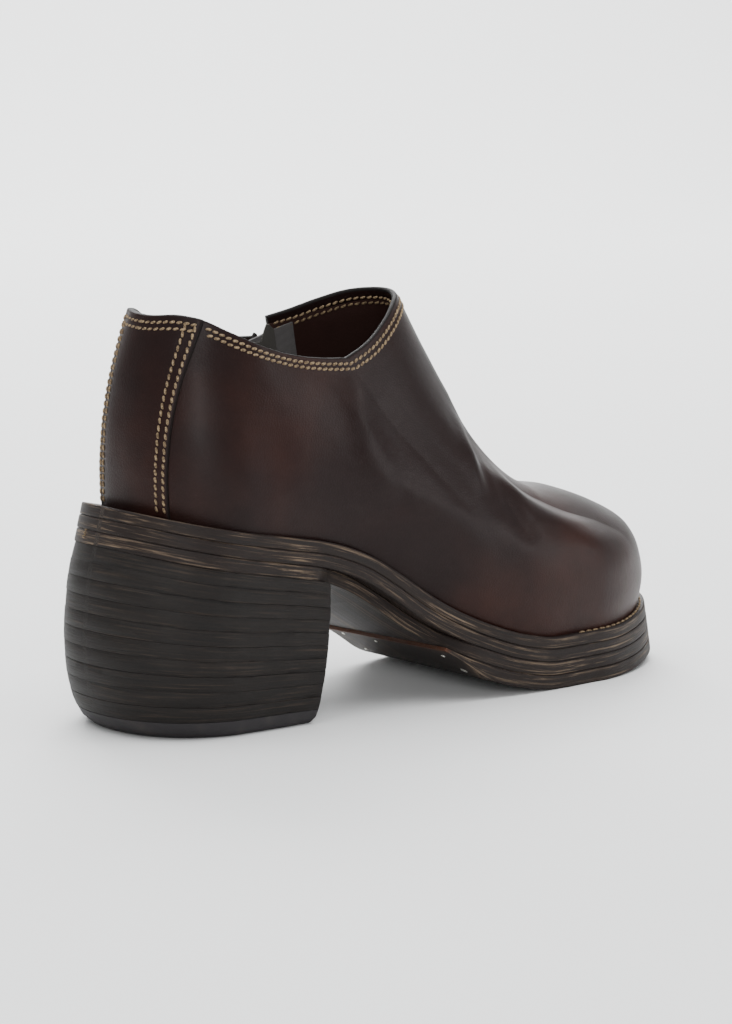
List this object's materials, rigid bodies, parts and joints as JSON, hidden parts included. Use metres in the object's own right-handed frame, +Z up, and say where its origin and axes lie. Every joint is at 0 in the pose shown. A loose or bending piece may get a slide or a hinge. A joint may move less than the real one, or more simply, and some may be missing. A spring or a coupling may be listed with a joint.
{
  "type": "block heel zip shoe",
  "caption": "Closed, high-fronted leather shoe on a thick layered sole with a tall stacked block heel, a back strip and an inner side zip.",
  "frame": {"origin": "on the floor, under the middle of the box around the shoe", "axes": "+X to the toe, +Y to the inner side of the right foot, where the zip is, +Z up"},
  "size_m": [0.2586, 0.0936, 0.1481],
  "materials": {
    "upper_leather": "smooth, softly polished, very dark brown",
    "sole_leather": "dark stained edge with paler streaks",
    "heel_leather": "dark stained stack, lift lines just visible",
    "insole_leather": "matte brown",
    "top_piece_rubber": "matte charcoal",
    "zip_cloth": "woven, dark grey",
    "zip_metal": "aged silver"
  },
  "bodies": {
    "shoe": {"upper": "upper_leather", "back_strip": "upper_leather", "insole": "insole_leather", "welt": "sole_leather", "midsole": "sole_leather", "outsole": "sole_leather", "half_sole": "sole_leather", "heel_lift_01": "heel_leather", "heel_lift_02": "heel_leather", "heel_lift_03": "heel_leather", "heel_lift_04": "heel_leather", "heel_lift_05": "heel_leather", "heel_lift_06": "heel_leather", "heel_lift_07": "heel_leather", "heel_lift_08": "heel_leather", "heel_lift_09": "heel_leather", "heel_lift_10": "heel_leather", "heel_top_piece": "top_piece_rubber", "zip_tape": "zip_cloth", "zip_teeth": "zip_metal", "zip_stop": "zip_metal", "zip_slider": "zip_metal"},
    "pull": {"zip_pull": "zip_metal"}
  },
  "joints": [
    {"name": "zip_pull_hinge", "type": "hinge", "parent": "shoe", "child": "pull", "pos_m": [-0.02634, 0.03316, 0.1239], "axis": [0.9536, -0.0369, 0.2987], "range_deg": [0, 150]}
  ]
}
